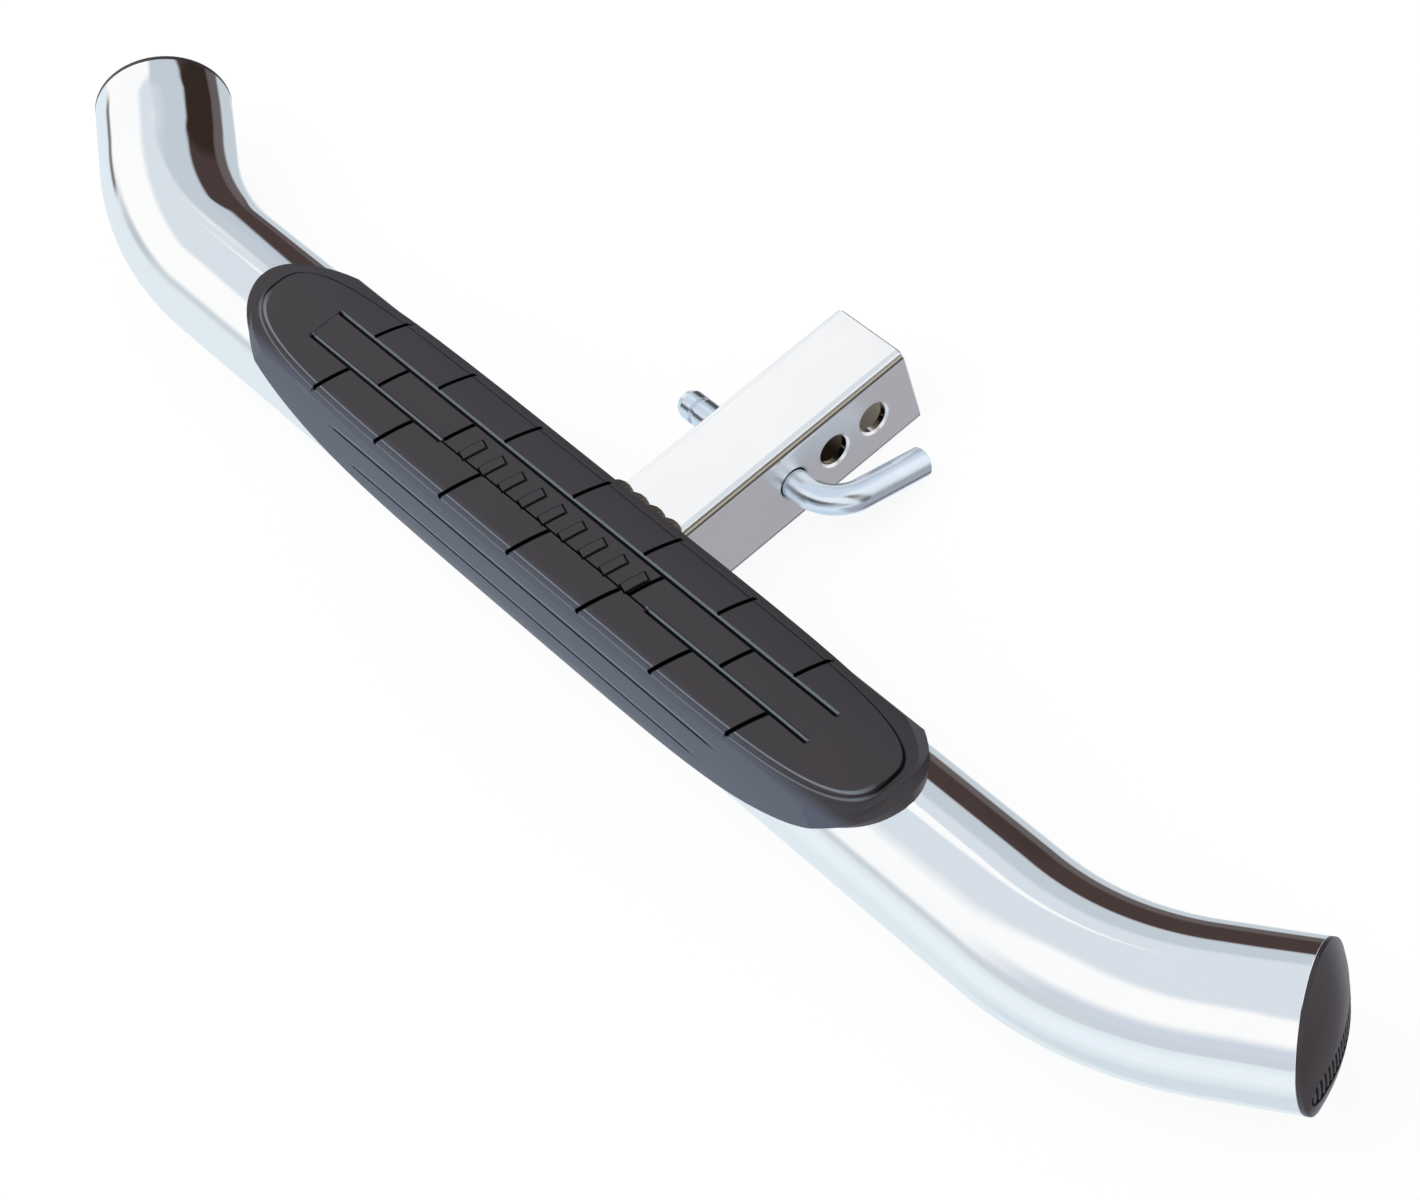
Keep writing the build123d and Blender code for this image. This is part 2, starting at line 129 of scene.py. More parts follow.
@dataclass
class NodePen:
    """Adds nodes to one node tree and joins them.

    Wherever a method takes a value, it takes a number or a socket.

    Attributes:
        tree: The tree that the pen writes in.
    """

    tree: bpy.types.NodeTree

    def add(self, kind: str, **values: object) -> bpy.types.Node:
        """Adds a node.

        Args:
            kind: The node's type name.
            values: Attributes to set on the node, and sockets by their label.

        Returns:
            The new node.
        """
        node = self.tree.nodes.new(kind)
        for name, value in values.items():
            if hasattr(node, name):
                setattr(node, name, value)
            else:
                node.inputs[name.replace("_", " ")].default_value = value
        return node

    def join(self, source: Socket, target: Socket) -> None:
        """Links one socket to another."""
        self.tree.links.new(source, target)

    def feed(self, value: Socket | float | Colour, target: Socket) -> None:
        """Links a socket to the target, or sets a number or a colour on it.

        Args:
            value: The socket, number or colour.
            target: The socket that takes it.
        """
        if isinstance(value, Socket):
            self.join(value, target)
        else:
            target.default_value = rgba(value) if isinstance(value, tuple) else value

    def math(self, operation: str, a: Socket | float, b: Socket | float = 0.0) -> Socket:
        """Adds a Math node.

        Args:
            operation: The node's operation.
            a: First value.
            b: Second value.

        Returns:
            The result's socket.
        """
        node = self.add("ShaderNodeMath", operation=operation)
        self.feed(a, node.inputs[0])
        self.feed(b, node.inputs[1])
        return node.outputs[0]

    def plus(self, a: Socket | float, b: Socket | float) -> Socket:
        """The sum of two values."""
        return self.math("ADD", a, b)

    def less(self, a: Socket | float, b: Socket | float) -> Socket:
        """The first value less the second."""
        return self.math("SUBTRACT", a, b)

    def times(self, *values: Socket | float) -> Socket:
        """The product of the values."""
        return reduce(lambda a, b: self.math("MULTIPLY", a, b), values)

    def most(self, *values: Socket | float) -> Socket:
        """The largest of the values."""
        return reduce(lambda a, b: self.math("MAXIMUM", a, b), values)

    def size(self, value: Socket) -> Socket:
        """The value without its sign."""
        return self.math("ABSOLUTE", value)

    def length(self, a: Socket, b: Socket) -> Socket:
        """Length of the arrow with these two parts."""
        return self.math("SQRT", self.plus(self.times(a, a), self.times(b, b)))

    def degrees(self, value: Socket) -> Socket:
        """An angle in radians as degrees."""
        return self.times(value, 180 / math.pi)

    def split(self, vector: Socket) -> tuple[Socket, Socket, Socket]:
        """The three parts of a vector."""
        parts = self.add("ShaderNodeSeparateXYZ")
        self.join(vector, parts.inputs[0])
        return parts.outputs["X"], parts.outputs["Y"], parts.outputs["Z"]

    def turned(self, x: Socket, y: Socket, turn: float) -> tuple[Socket, Socket]:
        """Places along and across a direction in the plane.

        Args:
            x: First coordinate.
            y: Second coordinate.
            turn: Degrees from the first axis to the direction.

        Returns:
            The place along the direction, and the place across it.
        """
        c, s = math.cos(math.radians(turn)), math.sin(math.radians(turn))
        along = self.plus(self.times(x, c), self.times(y, s))
        return along, self.less(self.times(y, c), self.times(x, s))

    def wrap(self, value: Socket, pitch: float) -> Socket:
        """The value less the nearest whole number of pitches."""
        moved = self.math("FLOORED_MODULO", self.plus(value, pitch / 2), pitch)
        return self.less(moved, pitch / 2)

    def rise(self, value: Socket, edge: float, soft: float, falling: bool = False) -> Socket:
        """Adds a soft step from 0 to 1, or down from 1 to 0.

        Args:
            value: The value that passes the step.
            edge: The step's middle.
            soft: Width of the step.
            falling: Whether the step goes down.

        Returns:
            The step's socket.
        """
        node = self.add("ShaderNodeMapRange", interpolation_type="SMOOTHSTEP")
        self.join(value, node.inputs["Value"])
        node.inputs["From Min"].default_value = edge - soft / 2
        node.inputs["From Max"].default_value = edge + soft / 2
        node.inputs["To Min"].default_value = 1.0 if falling else 0.0
        node.inputs["To Max"].default_value = 0.0 if falling else 1.0
        return node.outputs["Result"]

    def fall(self, value: Socket, edge: float, soft: float) -> Socket:
        """A soft step from 1 down to 0, of a given middle and width."""
        return self.rise(value, edge, soft, falling=True)

    def band(self, value: Socket, low: float, high: float, soft: float) -> Socket:
        """A mask that is 1 between two values, with soft edges."""
        return self.times(self.rise(value, low, soft), self.fall(value, high, soft))

    def within(self, value: Socket, middle: float, half: float, soft: float) -> Socket:
        """A mask that is 1 within a distance of a middle, with a soft edge."""
        return self.fall(self.size(self.less(value, middle)), half, soft)

    def mix(self, factor: Socket | float, a: Socket | Colour, b: Socket | Colour) -> Socket:
        """Adds a colour mix.

        Args:
            factor: Share of the second colour.
            a: First colour.
            b: Second colour.

        Returns:
            The mixed colour's socket.
        """
        node = self.add("ShaderNodeMix", data_type="RGBA")
        for value, index in ((factor, 0), (a, 6), (b, 7)):
            self.feed(value, node.inputs[index])
        return node.outputs[2]


@dataclass(frozen=True)
class GroupSocket:
    """One named socket of a node group."""

    label: str
    kind: str = "NodeSocketFloat"
    default: float | None = None


def new_group(
    name: str, inputs: tuple[GroupSocket, ...], outputs: tuple[GroupSocket, ...]
) -> tuple[bpy.types.NodeTree, NodePen, bpy.types.Node, bpy.types.Node]:
    """Starts a shader node group.

    Args:
        name: The group's name.
        inputs: Its input sockets.
        outputs: Its output sockets.

    Returns:
        The group, a pen for it, and its input and output nodes.
    """
    group = bpy.data.node_groups.new(name, "ShaderNodeTree")
    for way, sockets in (("INPUT", inputs), ("OUTPUT", outputs)):
        for item in sockets:
            socket = group.interface.new_socket(item.label, in_out=way, socket_type=item.kind)
            if item.default is not None:
                socket.default_value = item.default
    pen = NodePen(group)
    return group, pen, pen.add("NodeGroupInput"), pen.add("NodeGroupOutput")


def fine_grain() -> bpy.types.NodeTree:
    """Mottling of a surface: coarse patches and fine grain from two noises.

    Returns:
        A group that puts out a patch value and a grain height, both from 0 to 1.
    """
    group, pen, entry, leave = new_group(
        "fine grain",
        (
            GroupSocket("Vector", "NodeSocketVector"),
            GroupSocket("Patch Scale", default=30.0),
            GroupSocket("Grain Scale", default=900.0),
        ),
        (GroupSocket("Patches"), GroupSocket("Grain")),
    )
    for label, scale, detail in (("Patches", "Patch Scale", 4.0), ("Grain", "Grain Scale", 2.0)):
        noise = pen.add("ShaderNodeTexNoise", Detail=detail)
        pen.join(entry.outputs["Vector"], noise.inputs["Vector"])
        pen.join(entry.outputs[scale], noise.inputs["Scale"])
        pen.join(noise.outputs["Fac"], leave.inputs[label])
    return group


def painted_edge_highlights() -> bpy.types.NodeTree:
    """Mask of painted highlights on rounded corners: how far a rounded edge's normal leaves the
    plain one, with noise.

    Returns:
        A group that puts out a mask from 0 to 1.
    """
    agreement, softness = 0.93, 0.12
    least_highlight, noise_share = 0.4, 0.6
    group, pen, entry, leave = new_group(
        "painted edge highlights",
        (GroupSocket("Vector", "NodeSocketVector"), GroupSocket("Radius", default=0.0006)),
        (GroupSocket("Mask"),),
    )
    shape = pen.add("ShaderNodeNewGeometry")
    rounded = pen.add("ShaderNodeBevel", samples=4)
    pen.join(entry.outputs["Radius"], rounded.inputs["Radius"])
    agree = pen.add("ShaderNodeVectorMath", operation="DOT_PRODUCT")
    pen.join(rounded.outputs["Normal"], agree.inputs[0])
    pen.join(shape.outputs["Normal"], agree.inputs[1])
    noise = pen.add("ShaderNodeTexNoise", Scale=120.0, Detail=3.0)
    pen.join(entry.outputs["Vector"], noise.inputs["Vector"])
    spread = pen.fall(agree.outputs["Value"], agreement, softness)
    broken = pen.plus(pen.times(noise.outputs["Fac"], noise_share), least_highlight)
    pen.join(pen.times(spread, broken), leave.inputs["Mask"])
    return group


@dataclass
class Effects:
    """The node groups that the finishes share."""

    grain: bpy.types.NodeTree = field(default_factory=fine_grain)
    edges: bpy.types.NodeTree = field(default_factory=painted_edge_highlights)


# Finishes


@dataclass
class Surface:
    """Sockets that a finish gives to its shader.

    Attributes:
        colour: The colour.
        rough: The roughness.
        metal: The metal share, where it changes over the surface. Painted shade in a gap is
            black metal, so that it stays dark.
    """

    colour: Socket
    rough: Socket
    metal: Socket | None = None


@dataclass(frozen=True)
class Finish:
    """A surface finish: a base colour, its mottling, painted highlights on rounded edges, and how
    it shines.

    Attributes:
        slot: The material slot that it dresses.
        colour: Main colour.
        patch_colour: Colour of the patches.
        edge_highlight_colour: Colour of the painted highlights on rounded edges.
        metallic: Metal share.
        roughness: Roughness of the plain surface.
        patch_roughness: Roughness added in the patches.
        patch_scale: Patches per metre.
        grain_scale: Grains per metre.
        bump: Bump height in metres.
        edge_highlight_share: Strength of the painted edge highlights.
    """

    slot: Slot
    colour: Colour
    patch_colour: Colour
    edge_highlight_colour: Colour
    metallic: float
    roughness: float
    patch_roughness: float
    patch_scale: float
    grain_scale: float
    bump: float
    edge_highlight_share: float = 0.0

    def material(self, effects: Effects) -> bpy.types.Material:
        """Makes the material.

        Args:
            effects: The shared node groups.

        Returns:
            The finished material.
        """
        material = bpy.data.materials.new(self.slot.value)
        material.use_nodes = True
        pen = NodePen(material.node_tree)
        shader = material.node_tree.nodes["Principled BSDF"]
        shader.inputs["Metallic"].default_value = self.metallic
        place = pen.add("ShaderNodeTexCoord").outputs["Object"]
        grain = pen.add("ShaderNodeGroup", node_tree=effects.grain)
        grain.inputs["Patch Scale"].default_value = self.patch_scale
        grain.inputs["Grain Scale"].default_value = self.grain_scale
        pen.join(place, grain.inputs["Vector"])
        edges = pen.add("ShaderNodeGroup", node_tree=effects.edges)
        pen.join(place, edges.inputs["Vector"])
        body = pen.mix(grain.outputs["Patches"], self.colour, self.patch_colour)
        # Painted highlights on rounded edges, in the edge colour.
        highlit_edges = pen.times(edges.outputs["Mask"], self.edge_highlight_share)
        rough = pen.times(grain.outputs["Patches"], self.patch_roughness)
        plain = Surface(pen.mix(highlit_edges, body, self.edge_highlight_colour), pen.plus(rough, self.roughness))
        surface = self.tint_and_shade(pen, place, plain)
        pen.join(surface.colour, shader.inputs["Base Color"])
        pen.join(surface.rough, shader.inputs["Roughness"])
        if surface.metal is not None:
            pen.join(surface.metal, shader.inputs["Metallic"])
        bump = pen.add("ShaderNodeBump", Strength=1.0, Distance=self.bump)
        pen.join(grain.outputs["Grain"], bump.inputs["Height"])
        pen.join(bump.outputs["Normal"], shader.inputs["Normal"])
        return material

    def tint_and_shade(self, pen: NodePen, place: Socket, plain: Surface) -> Surface:
        """Changes the surface by its place on the piece, where a finish paints light and shade or
        other colours; here it stays plain.

        Args:
            pen: Pen of the material's nodes.
            place: Object coordinates.
            plain: The plain surface.

        Returns:
            The surface to use.
        """
        return plain


@dataclass(frozen=True)
class CrossGap:
    """A leaning gap across one row of the tread, once or at an even pitch.

    Attributes:
        place: Place of the gap, or of one gap of the row, along the bar.
        middle: The row's middle across the bar.
        half_width: Half width of the row.
        lean: Degrees that the gap leans.
        pitch: Distance between gaps, or 0 for a single one.
        soft: Width of its soft edges.
    """

    place: float
    middle: float
    half_width: float
    lean: float
    pitch: float = 0.0
    soft: float = 0.0004

    def mask(self, pen: NodePen, x: Socket, y: Socket, half_gap: float) -> Socket:
        """Mask of the painted shade in the gap: its level is the distance from its leaning middle
        line.

        Args:
            pen: Pen of the material's nodes.
            x: Place along the bar.
            y: Place across the bar from its axis.
            half_gap: Half width of the gap.

        Returns:
            The mask's socket.
        """
        lean = math.radians(self.lean)
        slant = pen.times(pen.less(y, self.middle), math.tan(lean))
        off = pen.less(pen.less(x, self.place), slant)
        if self.pitch:
            off = pen.wrap(off, self.pitch)
        level = pen.times(pen.size(off), math.cos(lean))
        row = pen.within(y, self.middle, self.half_width, self.soft)
        return pen.times(row, pen.fall(level, half_gap, self.soft))


@dataclass(frozen=True)
class BarRow:
    """The row of low blocks in the middle of the tread.

    Attributes:
        centre: Middle of the row along and across the bar.
        pitch: Distance between blocks.
        half_count: Half of the number of blocks.
        half_size: Half width and half length of a block.
        lean: Degrees that a block leans.
        line: Where the painted shade line round a block begins and ends, outwards from its side.
    """

    centre: tuple[float, float] = (-0.001, -0.003)
    pitch: float = 0.016
    half_count: float = 4.5
    half_size: tuple[float, float] = (0.0025, 0.006)
    lean: float = 17.0
    line: tuple[float, float] = (0.0001, 0.0011)

    def mask(self, pen: NodePen, x: Socket, y: Socket) -> Socket:
        """Mask of the painted shade lines round the blocks: the level is the distance from a
        leaning box.

        Args:
            pen: Pen of the material's nodes.
            x: Place along the bar.
            y: Place across the bar from its axis.

        Returns:
            The mask's socket.
        """
        from_block = pen.wrap(pen.less(x, self.centre[0]), self.pitch)
        wide, tall = pen.turned(from_block, pen.less(y, self.centre[1]), -self.lean)
        level = pen.most(
            pen.less(pen.size(wide), self.half_size[0]), pen.less(pen.size(tall), self.half_size[1])
        )
        row = pen.within(x, self.centre[0], self.half_count * self.pitch, 0.0005)
        return pen.times(row, pen.band(level, *self.line, 0.0003))


@dataclass(frozen=True)
class TreadFinish(Finish):
    """The pad's moulded finish: dark grooves, pale near walls and a pale near rim.

    Attributes:
        crown_r: Radius of the tread's crown.
        crown_top: Height of the crown above the bar's axis.
        oval: Half length and half width of the tread.
        powers: How square the oval is along and across.
        ledge: Width of the ledge round the tread.
        long_grooves: Place across the bar, start and end of each long groove.
        shade_span: Where the painted shade in a long groove begins and ends, across it.
        highlight_span: Where the painted highlight on its far wall, which faces the user, begins
            and ends.
        highlight_share: Strength of the painted highlights on the walls.
        cross_gaps: The gaps across the three rows.
        half_gap: Half width of a gap across a row.
        gap_end: How far along the bar the rows have gaps.
        bars: The row of blocks.
        near_side: Where the side that faces the user begins across the bar, and its softness; its
            rim gets painted highlights.
        rim_highlight_share: Strength of the painted highlight on the rim.
        ledge_highlight_share: Strength of the painted highlight line on the ledge.
        groove_shade_colour: Colour of the painted shade in the grooves.
        groove_shade_metal: Metal share in the painted shade of the grooves, which keeps it dark.
        highlight_colour: Colour of the painted highlights on walls and edges that face the user.
        skirt_reflection_colour: Colour of the painted bluish reflection on the skirt that faces the
            user.
        skirt_reflection_start: Degrees from the top where the painted reflection on the skirt
            begins, and its softness.
        skirt_reflection_share: Strength of the painted reflection on the skirt.
        skirt_lines: Angle from the top and half length of each skirt line.
        line_shares: Strength of the painted shade on a skirt line's dark side and of the painted
            highlight on its pale side.
    """

    crown_r: float = 0.085
    crown_top: float = 0.0423
    oval: tuple[float, float] = (0.239, 0.028)
    powers: tuple[float, float] = (6.0, 3.0)
    ledge: float = 0.0028
    long_grooves: tuple[tuple[float, float, float], ...] = (
        (0.0095, -0.196, 0.196),
        (-0.0095, -0.196, -0.083),
        (-0.0095, 0.079, 0.196),
    )
    shade_span: tuple[float, float] = (-0.0014, 0.0005)
    highlight_span: tuple[float, float] = (0.0005, 0.0015)
    highlight_share: float = 0.8
    cross_gaps: tuple[CrossGap, ...] = (
        CrossGap(0.0, -0.02015, 0.01065, 27.0, pitch=0.055),
        CrossGap(0.0, 0.02015, 0.01065, 10.0, pitch=0.055),
        CrossGap(-0.136, 0.0, 0.0095, 17.0),
        CrossGap(-0.08, 0.0, 0.0095, 17.0),
        CrossGap(0.069, 0.0, 0.0095, 17.0),
        CrossGap(0.135, 0.0, 0.0095, 17.0),
    )
    half_gap: float = 0.0013
    gap_end: float = 0.18
    bars: BarRow = BarRow()
    near_side: tuple[float, float] = (-0.01, 0.014)
    rim_highlight_share: float = 0.6
    ledge_highlight_share: float = 0.4
    groove_shade_colour: Colour = (0.002, 0.002, 0.002)
    groove_shade_metal: float = 0.9
    highlight_colour: Colour = (0.22, 0.26, 0.3)
    skirt_reflection_colour: Colour = (0.066, 0.078, 0.114)
    skirt_reflection_start: tuple[float, float] = (-37.5, 11.0)
    skirt_reflection_share: float = 0.9
    skirt_lines: tuple[tuple[float, float], ...] = ((-54.8, 0.15), (-75.3, 0.135))
    line_shares: tuple[float, float] = (0.8, 0.35)

    def outline(self, pen: NodePen, x: Socket, y: Socket, wider: float) -> Socket:
        """The tread's outline as a level: |x/a|^6 + |y/b|^3, which is 1 on the edge.

        Args:
            pen: Pen of the material's nodes.
            x: Place along the bar.
            y: Place across the bar from its axis.
            wider: Width added to the outline all round.

        Returns:
            The level's socket.
        """
        parts = [
            pen.math("POWER", pen.size(pen.math("DIVIDE", place, half + wider)), power)
            for place, half, power in zip((x, y), self.oval, self.powers)
        ]
        return pen.plus(*parts)

    def rims(
        self, pen: NodePen, level: Socket, ledge_level: Socket, y: Socket
    ) -> tuple[Socket, Socket]:
        """Masks of the painted highlight on the tread's rim on the user's side, and of the painted
        shade along its far foot.

        Args:
            pen: Pen of the material's nodes.
            level: Level of the tread's outline.
            ledge_level: Level of the ledge's outline.
            y: Place across the bar from its axis.

        Returns:
            The sockets of the painted highlight's mask and of the painted shade's mask.
        """
        near = pen.fall(y, *self.near_side)
        # Painted highlights on the rim and the ledge on the user's side, painted shade along the
        # far foot.
        rim = pen.times(pen.band(level, 0.94, 1.0, 0.03), near, self.rim_highlight_share)
        outer = pen.times(pen.band(ledge_level, 0.95, 1.0, 0.03), near, self.ledge_highlight_share)
        foot = pen.times(pen.band(level, 1.01, 1.06, 0.03), pen.less(1.0, near))
        return pen.most(rim, outer), foot

    def crossings(self, pen: NodePen, x: Socket, y: Socket, ledge_level: Socket) -> Socket:
        """Mask of the painted shade in the gaps across the rows and in the lines round the blocks.

        Args:
            pen: Pen of the material's nodes.
            x: Place along the bar.
            y: Place across the bar from its axis.
            ledge_level: Level of the ledge's outline, beyond which no gap runs.

        Returns:
            The mask's socket.
        """
        lines = [gap.mask(pen, x, y, self.half_gap) for gap in self.cross_gaps]
        inside = pen.fall(ledge_level, 0.99, 0.02)
        short = pen.fall(pen.size(x), self.gap_end, 0.004)
        return pen.times(pen.most(self.bars.mask(pen, x, y), *lines), inside, short)

    def tint_and_shade(self, pen: NodePen, place: Socket, plain: Surface) -> Surface:
        """Paints shade into the grooves, highlights on the walls and edges that face the user, and
        a bluish reflection on the near skirt.

        A groove is where the surface lies deeper than the crown's circle.

        Args:
            pen: Pen of the material's nodes.
            place: Object coordinates.
            plain: The plain surface.

        Returns:
            The surface to use.
        """
        x, y, z = pen.split(place)
        y, z = pen.less(y, BAR.y), pen.less(z, BAR.z)
        depth = pen.less(self.crown_r, pen.length(pen.less(z, self.crown_top - self.crown_r), y))
        turn = pen.degrees(pen.math("ARCTAN2", y, z))
        # Painted reflection: the skirt that faces the user turns bluish.
        skirt = pen.times(pen.fall(turn, *self.skirt_reflection_start), self.skirt_reflection_share)
        colour = pen.mix(skirt, plain.colour, self.skirt_reflection_colour)

        level = self.outline(pen, x, y, 0.0)
        ledge_level = self.outline(pen, x, y, self.ledge)
        # Painted shade in the grooves, where the surface lies below the crown.
        groove = pen.times(pen.fall(level, 1.0, 0.04), pen.rise(depth, 0.0006, 0.0003))
        # Painted highlight on the rim that faces the user, painted shade along the far foot.
        rim, foot = self.rims(pen, level, ledge_level, y)
        colour = pen.mix(rim, colour, self.highlight_colour)
        gaps = pen.most(groove, foot, self.crossings(pen, x, y, ledge_level))

        # Painted shade on the near side of each long groove and a painted highlight on its far
        # wall.
        for middle, start, end in self.long_grooves:
            along = pen.band(x, start, end, 0.004)
            off = pen.less(y, middle)
            sunk = pen.times(along, pen.rise(depth, 0.0001, 0.0001))
            dark = pen.times(along, pen.band(off, *self.shade_span, 0.0003))
            pale = pen.times(sunk, pen.band(off, *self.highlight_span, 0.0003))
            gaps = pen.most(pen.less(gaps, pale), dark)
            colour = pen.mix(pen.times(pale, self.highlight_share), colour, self.highlight_colour)

        shade_share, highlight_share = self.line_shares
        # Painted shade and painted highlight along each skirt line.
        for angle, half_length in self.skirt_lines:
            along = pen.fall(pen.size(x), half_length, 0.02)
            dark = pen.times(pen.within(turn, angle, 0.9, 0.7), along, shade_share)
            pale = pen.times(pen.within(turn, angle + 2.0, 0.8, 0.8), along, highlight_share)
            gaps = pen.most(gaps, dark)
            colour = pen.mix(pale, colour, self.highlight_colour)
        # All the painted shade goes in at once, as nearly black metal.
        colour = pen.mix(gaps, colour, self.groove_shade_colour)
        return Surface(colour, plain.rough, pen.times(gaps, self.groove_shade_metal))


@dataclass(frozen=True)
class ShankFinish(Finish):
    """The shank's finish: plated outside, satin at the sides, raw and brown inside, with painted
    shade that deepens away from the open end.

    Attributes:
        inner_half: Half of the hollow's side.
        side: Where the flat side faces begin across, and where they end up and down.
        side_roughness: Roughness of the side faces, which are satin.
        raw_roughness: Roughness of the raw steel inside.
        mouth: Where the mouth's colour begins along the shank, and its softness.
        deep_shaded_colour: Colour of the raw steel deep inside, darkened by painted shade.
        mouth_colour: Colour at the open end.
    """

    inner_half: float = 0.0209
    side: tuple[float, float] = (0.024, 0.0203)
    side_roughness: float = 0.36
    raw_roughness: float = 0.6
    mouth: tuple[float, float] = (-0.038, 0.016)
    deep_shaded_colour: Colour = (0.085, 0.055, 0.035)
    mouth_colour: Colour = (0.5, 0.44, 0.36)

    def tint_and_shade(self, pen: NodePen, place: Socket, plain: Surface) -> Surface:
        """Swaps the plating for raw steel inside the hollow, with painted shade that deepens away
        from the mouth, and dulls the side faces.

        Args:
            pen: Pen of the material's nodes.
            place: Object coordinates.
            plain: The plain surface.

        Returns:
            The surface to use.
        """
        x, y, z = pen.split(place)
        x, z = pen.size(x), pen.size(z)
        inside = pen.fall(pen.most(x, z), self.inner_half, 0.0004)
        # Raw brown steel inside, with painted shade: darker deep in, lighter at the open end.
        raw = pen.mix(pen.rise(y, *self.mouth), self.deep_shaded_colour, self.mouth_colour)
        side = pen.times(pen.rise(x, self.side[0], 0.0002), pen.fall(z, self.side[1], 0.0004))
        rough = pen.most(
            plain.rough, pen.times(inside, self.raw_roughness), pen.times(side, self.side_roughness)
        )
        return Surface(pen.mix(inside, plain.colour, raw), rough)


@dataclass(frozen=True)
class CapFace:
    """Where the caps sit, and the ribbed band that is sunk into each face.

    Attributes:
        seat: Centre of the right tube end.
        half_length: Half length of the band.
        half_height: Half height of the band.
        drop: How far the band's middle lies below the cap's centre.
        depth: Depth of the band.
        rib_pitch: Distance between its ribs.
    """

    seat: tuple[float, float, float] = (0.447055, -0.141507, 0.0254)
    half_length: float = 0.0335
    half_height: float = 0.0078
    drop: float = 0.0062
    depth: float = 0.001
    rib_pitch: float = 0.0034


CAP_FACE = CapFace()


@dataclass(frozen=True)
class CapFinish(Finish):
    """The caps' moulded finish, dark round the sunk band and between its ribs.

    Attributes:
        face: Where the caps sit, and their sunk band.
        gap_shade_colour: Colour of the painted shade in the gaps.
        gap_shade_metal: Metal share in the painted shade of the gaps, which keeps it dark.
        gap_roughness: Least roughness in the band.
        rib_colour: Colour on the ribs.
    """

    face: CapFace = CAP_FACE
    gap_shade_colour: Colour = (0.004, 0.003, 0.004)
    gap_shade_metal: float = 0.85
    gap_roughness: float = 0.5
    rib_colour: Colour = (0.06, 0.052, 0.06)

    def tint_and_shade(self, pen: NodePen, place: Socket, plain: Surface) -> Surface:
        """Paints shade into the gaps: the band's level is its distance from a line, less its half
        height.

        Args:
            pen: Pen of the material's nodes.
            place: Object coordinates.
            plain: The plain surface.

        Returns:
            The surface to use.
        """
        face = self.face
        seat_x, seat_y, seat_z = face.seat
        x, y, z = pen.split(place)
        _, across = pen.turned(pen.less(pen.size(x), seat_x), pen.less(y, seat_y), BAR.bend_angle)
        up = pen.less(z, seat_z - face.drop)
        over = pen.most(pen.less(pen.size(across), face.half_length - face.half_height), 0.0)
        level = pen.less(pen.length(over, up), face.half_height)
        wave = pen.math("COSINE", pen.times(across, 2 * math.pi / face.rib_pitch))
        # Painted shade in the sunk band and between the ribs; the ribs get a lighter colour.
        ribs = pen.times(pen.fall(level, -0.0012, 0.0003), pen.rise(wave, 0.1, 0.3))
        gap = pen.fall(level, 0.0001, 0.0003)
        colour = pen.mix(ribs, pen.mix(gap, plain.colour, self.gap_shade_colour), self.rib_colour)
        black = pen.times(gap, pen.less(self.gap_shade_metal, ribs))
        rough = pen.most(plain.rough, pen.times(gap, self.gap_roughness))
        return Surface(colour, rough, pen.most(black, 0.0))


FINISHES: tuple[Finish, ...] = (
    Finish(
        Slot.BAR, (0.98, 0.98, 0.98), (0.94, 0.95, 0.96), (0.95, 0.95, 0.95),
        metallic=1.0, roughness=0.025, patch_roughness=0.03, patch_scale=9.0,
        grain_scale=260.0, bump=1.5e-6,
    ),
    ShankFinish(
        Slot.SHANK, (0.96, 0.96, 0.96), (0.92, 0.92, 0.93), (0.95, 0.95, 0.95),
        metallic=1.0, roughness=0.1, patch_roughness=0.1, patch_scale=26.0,
        grain_scale=420.0, bump=5e-6,
    ),
    Finish(
        Slot.WELD, (0.15, 0.13, 0.085), (0.05, 0.04, 0.03), (0.5, 0.48, 0.42),
        metallic=1.0, roughness=0.25, patch_roughness=0.25, patch_scale=160.0,
        grain_scale=500.0, bump=1.5e-4,
    ),
    TreadFinish(
        Slot.PAD, (0.02, 0.0145, 0.018), (0.026, 0.019, 0.024), (0.09, 0.095, 0.11),
        metallic=0.0, roughness=0.42, patch_roughness=0.1, patch_scale=22.0,
        grain_scale=1500.0, bump=4e-5, edge_highlight_share=0.35,
    ),
    Finish(
        Slot.CLIP, (0.02, 0.02, 0.02), (0.03, 0.03, 0.03), (0.06, 0.06, 0.06),
        metallic=0.0, roughness=0.5, patch_roughness=0.1, patch_scale=60.0,
        grain_scale=1500.0, bump=2e-5,
    ),
    CapFinish(
        Slot.CAP, (0.022, 0.014, 0.017), (0.03, 0.021, 0.026), (0.08, 0.07, 0.07),
        metallic=0.0, roughness=0.3, patch_roughness=0.12, patch_scale=40.0,
        grain_scale=1300.0, bump=3e-5, edge_highlight_share=0.4,
    ),
    Finish(
        Slot.PIN, (0.84, 0.91, 0.98), (0.72, 0.8, 0.9), (0.92, 0.94, 0.96),
        metallic=1.0, roughness=0.18, patch_roughness=0.14, patch_scale=60.0,
        grain_scale=420.0, bump=2.5e-5,
    ),
)


